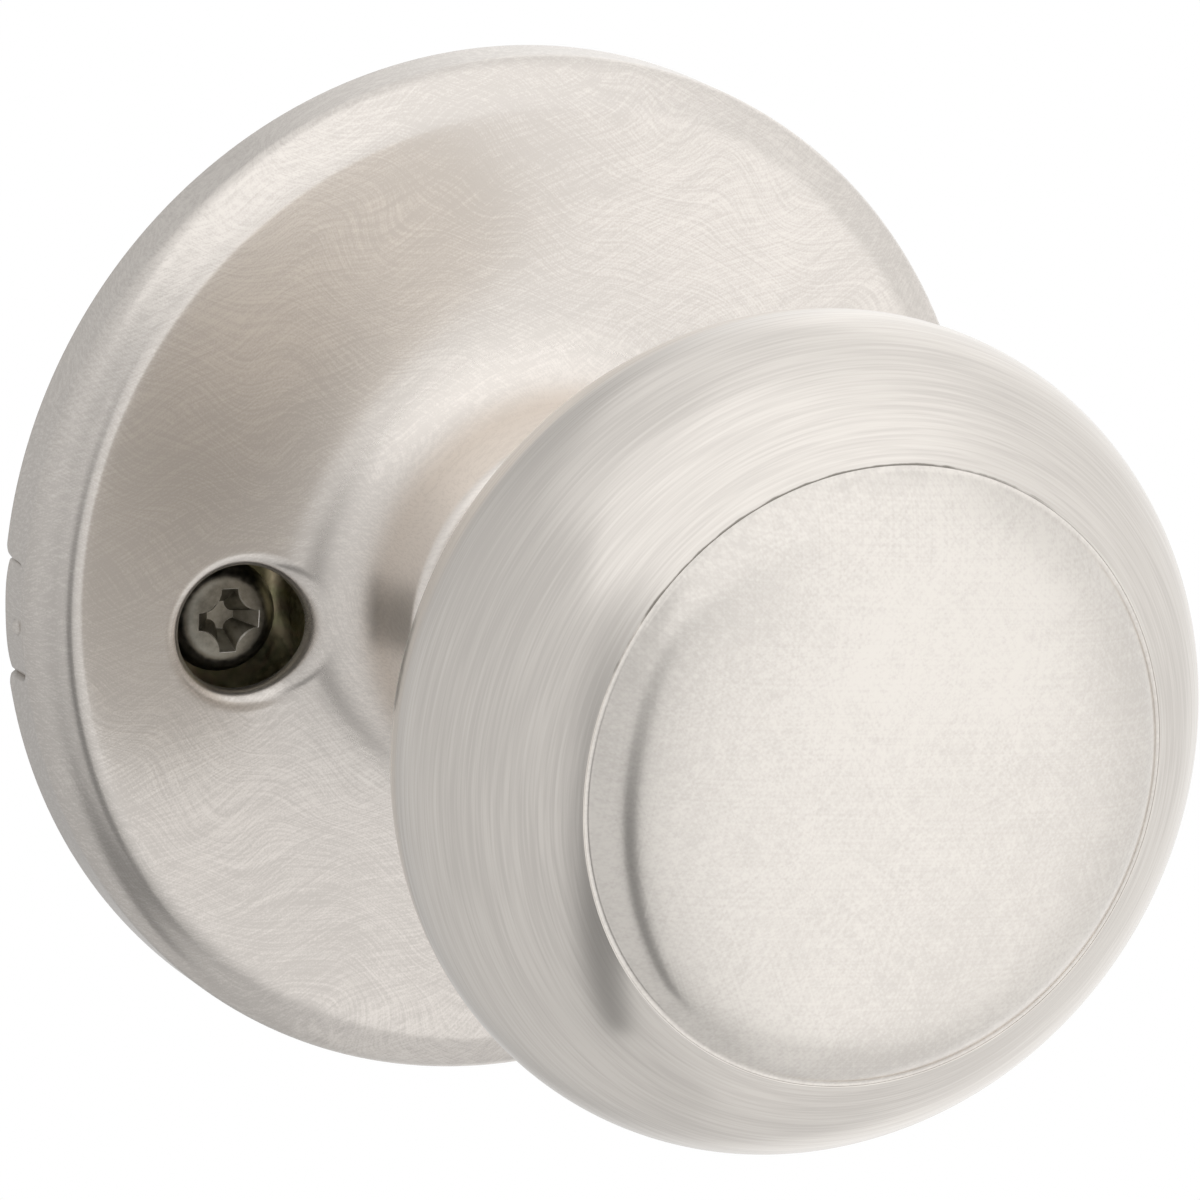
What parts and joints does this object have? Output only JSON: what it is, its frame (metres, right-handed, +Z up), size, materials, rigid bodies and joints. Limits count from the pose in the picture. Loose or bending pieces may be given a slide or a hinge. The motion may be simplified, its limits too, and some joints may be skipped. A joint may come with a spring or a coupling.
{
  "type": "door knob",
  "caption": "Round satin-nickel door knob on a stamped rose with screw access holes, sprung to centre, with a half-round spindle that slides to suit the door's thickness.",
  "frame": {"origin": "on the knob's axis in the plane of the door's face, which is also a point of the spindle's flat", "axes": "+Y runs along the knob's axis into the door, so the knob stands out towards -Y; +X runs from the left screw to the right screw; +Z is up"},
  "size_m": [0.065, 0.1045, 0.065],
  "materials": {
    "satin_nickel": "satin nickel plate, brushed round the axis",
    "yellow_zinc": "stamped steel, yellow zinc plated",
    "dark_screw": "dark zinc plated steel",
    "bright_steel": "bright zinc plated steel",
    "spring_steel": "oiled spring steel",
    "zinc_casting": "raw zinc die casting",
    "nylon": "natural moulded nylon"
  },
  "bodies": {
    "mount": {"rose": "satin_nickel", "mounting_plate": "yellow_zinc", "hub_bushing": "nylon", "spring_cover": "yellow_zinc", "cover_rivet_1": "bright_steel", "cover_rivet_2": "bright_steel", "cover_rivet_3": "bright_steel", "return_spring": "spring_steel", "left_screw": "dark_screw", "right_screw": "dark_screw"},
    "knob": {"knob_shell": "satin_nickel", "knob_face": "satin_nickel", "knob_core": "zinc_casting", "knob_shank": "bright_steel", "driver_plate": "yellow_zinc", "retaining_ring": "spring_steel", "wave_washer": "spring_steel", "thrust_washer": "bright_steel", "spindle_driver": "zinc_casting", "leaf_spring": "spring_steel"},
    "spindle": {"spindle": "bright_steel"}
  },
  "joints": [
    {"name": "knob_turn", "type": "hinge", "parent": "mount", "child": "knob", "pos_m": [0, 0, 0], "axis": [0, -1, 0], "range_deg": [-50, 50], "stiffness_Nm_per_rad": 0.25, "deforming": ["return_spring"]},
    {"name": "spindle_slide", "type": "slide", "parent": "knob", "child": "spindle", "axis": [0, 1, 0], "range_m": [-0.005, 0.005]}
  ]
}
